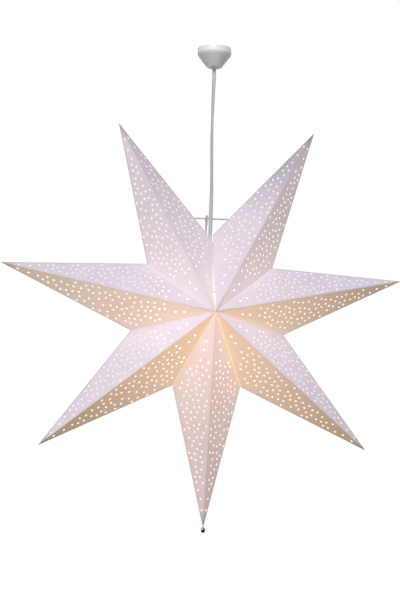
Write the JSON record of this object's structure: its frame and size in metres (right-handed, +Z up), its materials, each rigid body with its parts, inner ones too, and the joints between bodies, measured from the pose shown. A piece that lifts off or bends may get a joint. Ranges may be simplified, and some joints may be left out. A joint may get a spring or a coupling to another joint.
{
  "type": "paper star lantern",
  "caption": "Folding paper star lantern with pierced facets, hung on a flex with a small lamp holder and bulb inside, from a ceiling fitting to its tip bead",
  "frame": {"origin": "centre of the flat top face of the ceiling plate, where the fitting meets the ceiling", "axes": "+Z is up, out of the ceiling face; the star faces -Y and its thickness lies along Y; +X is to the right seen from the front"},
  "size_m": [0.5473, 0.1288, 0.6474],
  "materials": {
    "paper": "white folded paper, matte, lit warm from inside, cool white from outside",
    "flex": "white flat twin flex, satin sheath",
    "string": "natural cotton string",
    "wire": "drawn steel wire",
    "dark_chrome": "polished dark metal bead",
    "white_plastic": "white moulded plastic",
    "white_rubber": "white rubber grommet",
    "ceramic": "glazed white ceramic",
    "brass": "bright brass",
    "nickel": "nickel plated thread",
    "warm_glass": "thin warm white glass",
    "glowing_filament": "glowing filament and its stem",
    "steel": "zinc plated steel"
  },
  "bodies": {
    "ceiling": {"ceiling_plate": "steel", "ceiling_screw_left": "steel", "ceiling_screw_right": "steel", "ceiling_cup": "white_plastic", "terminal_block": "white_plastic"},
    "grommet": {"cord_grommet": "white_rubber"},
    "flex": {"hanging_flex": "flex"},
    "lamp": {"cord_grip": "white_plastic", "holder_cap": "white_plastic", "holder_skirt": "white_plastic", "holder_insert": "ceramic", "screw_shell": "brass", "centre_contact": "brass", "terminal_screw_left": "brass", "terminal_screw_right": "brass", "support_string": "string", "closing_wire": "wire", "tip_bead": "dark_chrome"},
    "bulb": {"bulb_base": "nickel", "bulb_button": "brass", "bulb_glass": "warm_glass", "bulb_filament": "glowing_filament"},
    "point_1_front_right": {"point_1_front_right": "paper"},
    "point_1_back_right": {"point_1_back_right": "paper"},
    "point_2_front_lower": {"point_2_front_lower": "paper"},
    "point_2_back_lower": {"point_2_back_lower": "paper"},
    "point_2_front_upper": {"point_2_front_upper": "paper"},
    "point_2_back_upper": {"point_2_back_upper": "paper"},
    "point_3_front_lower": {"point_3_front_lower": "paper"},
    "point_3_back_lower": {"point_3_back_lower": "paper"},
    "point_3_front_upper": {"point_3_front_upper": "paper"},
    "point_3_back_upper": {"point_3_back_upper": "paper"},
    "point_4_front_lower": {"point_4_front_lower": "paper"},
    "point_4_back_lower": {"point_4_back_lower": "paper"},
    "point_4_front_upper": {"point_4_front_upper": "paper"},
    "point_4_back_upper": {"point_4_back_upper": "paper"},
    "point_1_front_left": {"point_1_front_left": "paper"},
    "point_1_back_left": {"point_1_back_left": "paper"},
    "point_7_front_lower": {"point_7_front_lower": "paper"},
    "point_7_back_lower": {"point_7_back_lower": "paper"},
    "point_7_front_upper": {"point_7_front_upper": "paper"},
    "point_7_back_upper": {"point_7_back_upper": "paper"},
    "point_6_front_lower": {"point_6_front_lower": "paper"},
    "point_6_back_lower": {"point_6_back_lower": "paper"},
    "point_6_front_upper": {"point_6_front_upper": "paper"},
    "point_6_back_upper": {"point_6_back_upper": "paper"},
    "point_5_front_lower": {"point_5_front_lower": "paper"},
    "point_5_back_lower": {"point_5_back_lower": "paper"},
    "point_5_front_upper": {"point_5_front_upper": "paper"},
    "point_5_back_upper": {"point_5_back_upper": "paper"}
  },
  "joints": [
    {"name": "sway_side", "type": "hinge", "parent": "ceiling", "child": "grommet", "pos_m": [0, 0, -0.023], "axis": [0, 1, 0], "range_deg": [-20, 20]},
    {"name": "sway_forward", "type": "hinge", "parent": "grommet", "child": "flex", "pos_m": [0, 0, -0.023], "axis": [1, 0, 0], "range_deg": [-20, 20]},
    {"name": "flex_twist", "type": "hinge", "parent": "flex", "child": "lamp", "pos_m": [0, 0, -0.28], "axis": [0, 0, 1], "range_deg": [-180, 180], "stiffness_Nm_per_rad": 0.002},
    {"name": "bulb_unscrew", "type": "slide", "parent": "lamp", "child": "bulb", "axis": [0, 0, -1], "range_m": [0, 0.022]},
    {"name": "star_fold", "type": "hinge", "parent": "lamp", "child": "point_1_front_right", "pos_m": [0, -0.065, -0.36], "axis": [0, -0.2261, 0.9741], "range_deg": [0, 40]},
    {"name": "point_1_right_outline", "type": "hinge", "parent": "point_1_front_right", "child": "point_1_back_right", "pos_m": [0.04528, 0, -0.45474], "axis": [-0.2374, 0, -0.9714], "range_deg": [0, 80.5]},
    {"name": "valley_1_2", "type": "hinge", "parent": "point_1_front_right", "child": "point_2_front_lower", "pos_m": [0, -0.065, -0.36], "axis": [0.3666, 0.5264, -0.7672], "range_deg": [0, 98.5]},
    {"name": "point_2_ridge", "type": "hinge", "parent": "point_2_front_lower", "child": "point_2_front_upper", "pos_m": [0, -0.065, -0.36], "axis": [-0.7579, -0.2261, 0.6119], "range_deg": [0, 80.5]},
    {"name": "point_2_lower_outline", "type": "hinge", "parent": "point_2_front_lower", "child": "point_2_back_lower", "pos_m": [0.04528, 0, -0.45474], "axis": [-0.905, 0, 0.4255], "range_deg": [0, 80.5]},
    {"name": "point_2_upper_outline", "type": "hinge", "parent": "point_2_front_upper", "child": "point_2_back_upper", "pos_m": [0.10215, 0, -0.38428], "axis": [0.6067, 0, -0.7949], "range_deg": [0, 80.5]},
    {"name": "valley_2_3", "type": "hinge", "parent": "point_2_front_upper", "child": "point_3_front_lower", "pos_m": [0, -0.065, -0.36], "axis": [0.8272, 0.5264, -0.1966], "range_deg": [0, 96.5]},
    {"name": "point_3_ridge", "type": "hinge", "parent": "point_3_front_lower", "child": "point_3_front_upper", "pos_m": [0, -0.065, -0.36], "axis": [-0.9574, -0.2138, -0.1942], "range_deg": [0, 80.5]},
    {"name": "point_3_lower_outline", "type": "hinge", "parent": "point_3_front_lower", "child": "point_3_back_lower", "pos_m": [0.10215, 0, -0.38428], "axis": [-0.9073, 0.0186, -0.42], "range_deg": [0, 80.5]},
    {"name": "point_3_upper_outline", "type": "hinge", "parent": "point_3_front_upper", "child": "point_3_back_upper", "pos_m": [0.08468, -0.00244, -0.29547], "axis": [0.9989, -0.0058, -0.0457], "range_deg": [0, 80.5]},
    {"name": "valley_3_4", "type": "hinge", "parent": "point_3_front_upper", "child": "point_4_front_lower", "pos_m": [0, -0.065, -0.36], "axis": [0.6857, 0.5066, 0.5226], "range_deg": [0, 95.5]},
    {"name": "point_4_ridge", "type": "hinge", "parent": "point_4_front_lower", "child": "point_4_front_upper", "pos_m": [0, -0.065, -0.36], "axis": [-0.4735, -0.1796, -0.8623], "range_deg": [0, 80.5]},
    {"name": "point_4_lower_outline", "type": "hinge", "parent": "point_4_front_lower", "child": "point_4_back_lower", "pos_m": [0.08468, -0.00244, -0.29547], "axis": [-0.2697, 0.0573, -0.9612], "range_deg": [0, 80.5]},
    {"name": "point_4_upper_outline", "type": "hinge", "parent": "point_4_front_upper", "child": "point_4_back_upper", "pos_m": [0.00579, -0.00681, -0.25123], "axis": [0.6833, -0.0344, 0.7293], "range_deg": [0, 80.5]},
    {"name": "point_1_ridge_left", "type": "hinge", "parent": "lamp", "child": "point_1_front_left", "pos_m": [0, -0.065, -0.36], "axis": [0, 0.2261, -0.9741], "range_deg": [0, 40.5]},
    {"name": "point_1_left_outline", "type": "hinge", "parent": "point_1_front_left", "child": "point_1_back_left", "pos_m": [-0.04528, 0, -0.45474], "axis": [-0.2374, 0, 0.9714], "range_deg": [0, 80.5]},
    {"name": "valley_1_7", "type": "hinge", "parent": "point_1_front_left", "child": "point_7_front_lower", "pos_m": [0, -0.065, -0.36], "axis": [0.3666, -0.5264, 0.7672], "range_deg": [0, 98.5]},
    {"name": "point_7_ridge", "type": "hinge", "parent": "point_7_front_lower", "child": "point_7_front_upper", "pos_m": [0, -0.065, -0.36], "axis": [-0.7579, 0.2261, -0.6119], "range_deg": [0, 80.5]},
    {"name": "point_7_lower_outline", "type": "hinge", "parent": "point_7_front_lower", "child": "point_7_back_lower", "pos_m": [-0.04528, 0, -0.45474], "axis": [-0.905, 0, -0.4255], "range_deg": [0, 80.5]},
    {"name": "point_7_upper_outline", "type": "hinge", "parent": "point_7_front_upper", "child": "point_7_back_upper", "pos_m": [-0.10215, 0, -0.38428], "axis": [0.6067, 0, 0.7949], "range_deg": [0, 80.5]},
    {"name": "valley_6_7", "type": "hinge", "parent": "point_7_front_upper", "child": "point_6_front_lower", "pos_m": [0, -0.065, -0.36], "axis": [0.8272, -0.5264, 0.1966], "range_deg": [0, 98.5]},
    {"name": "point_6_ridge", "type": "hinge", "parent": "point_6_front_lower", "child": "point_6_front_upper", "pos_m": [0, -0.065, -0.36], "axis": [-0.9522, 0.2261, 0.2054], "range_deg": [0, 80.5]},
    {"name": "point_6_lower_outline", "type": "hinge", "parent": "point_6_front_lower", "child": "point_6_back_lower", "pos_m": [-0.10215, 0, -0.38428], "axis": [-0.8995, 0, 0.4369], "range_deg": [0, 80.5]},
    {"name": "point_6_upper_outline", "type": "hinge", "parent": "point_6_front_upper", "child": "point_6_back_upper", "pos_m": [-0.08306, 0, -0.29577], "axis": [0.9996, 0, 0.0272], "range_deg": [0, 80.5]},
    {"name": "valley_5_6", "type": "hinge", "parent": "point_6_front_upper", "child": "point_5_front_lower", "pos_m": [0, -0.065, -0.36], "axis": [0.6726, -0.5264, -0.5201], "range_deg": [0, 98.5]},
    {"name": "point_5_ridge", "type": "hinge", "parent": "point_5_front_lower", "child": "point_5_front_upper", "pos_m": [0, -0.065, -0.36], "axis": [-0.4383, 0.2261, 0.8699], "range_deg": [0, 80.5]},
    {"name": "point_5_lower_outline", "type": "hinge", "parent": "point_5_front_lower", "child": "point_5_back_lower", "pos_m": [-0.08306, 0, -0.29577], "axis": [-0.2251, 0, 0.9743], "range_deg": [0, 80.5]},
    {"name": "point_5_upper_outline", "type": "hinge", "parent": "point_5_front_upper", "child": "point_5_back_upper", "pos_m": [-0.0022, 0, -0.25502], "axis": [0.6491, 0, -0.7607], "range_deg": [0, 80.5]}
  ],
  "couplings": [
    {"joint": "point_1_right_outline", "follows": "star_fold", "ratio": 2},
    {"joint": "valley_1_2", "follows": "star_fold", "ratio": 2.45},
    {"joint": "point_2_ridge", "follows": "star_fold", "ratio": 2},
    {"joint": "point_2_lower_outline", "follows": "star_fold", "ratio": 2},
    {"joint": "point_2_upper_outline", "follows": "star_fold", "ratio": 2},
    {"joint": "valley_2_3", "follows": "star_fold", "ratio": 2.4},
    {"joint": "point_3_ridge", "follows": "star_fold", "ratio": 2},
    {"joint": "point_3_lower_outline", "follows": "star_fold", "ratio": 2},
    {"joint": "point_3_upper_outline", "follows": "star_fold", "ratio": 2},
    {"joint": "valley_3_4", "follows": "star_fold", "ratio": 2.375},
    {"joint": "point_4_ridge", "follows": "star_fold", "ratio": 2},
    {"joint": "point_4_lower_outline", "follows": "star_fold", "ratio": 2},
    {"joint": "point_4_upper_outline", "follows": "star_fold", "ratio": 2},
    {"joint": "point_1_ridge_left", "follows": "star_fold", "ratio": 1},
    {"joint": "point_1_left_outline", "follows": "star_fold", "ratio": 2},
    {"joint": "valley_1_7", "follows": "star_fold", "ratio": 2.45},
    {"joint": "point_7_ridge", "follows": "star_fold", "ratio": 2},
    {"joint": "point_7_lower_outline", "follows": "star_fold", "ratio": 2},
    {"joint": "point_7_upper_outline", "follows": "star_fold", "ratio": 2},
    {"joint": "valley_6_7", "follows": "star_fold", "ratio": 2.45},
    {"joint": "point_6_ridge", "follows": "star_fold", "ratio": 2},
    {"joint": "point_6_lower_outline", "follows": "star_fold", "ratio": 2},
    {"joint": "point_6_upper_outline", "follows": "star_fold", "ratio": 2},
    {"joint": "valley_5_6", "follows": "star_fold", "ratio": 2.45},
    {"joint": "point_5_ridge", "follows": "star_fold", "ratio": 2},
    {"joint": "point_5_lower_outline", "follows": "star_fold", "ratio": 2},
    {"joint": "point_5_upper_outline", "follows": "star_fold", "ratio": 2}
  ]
}
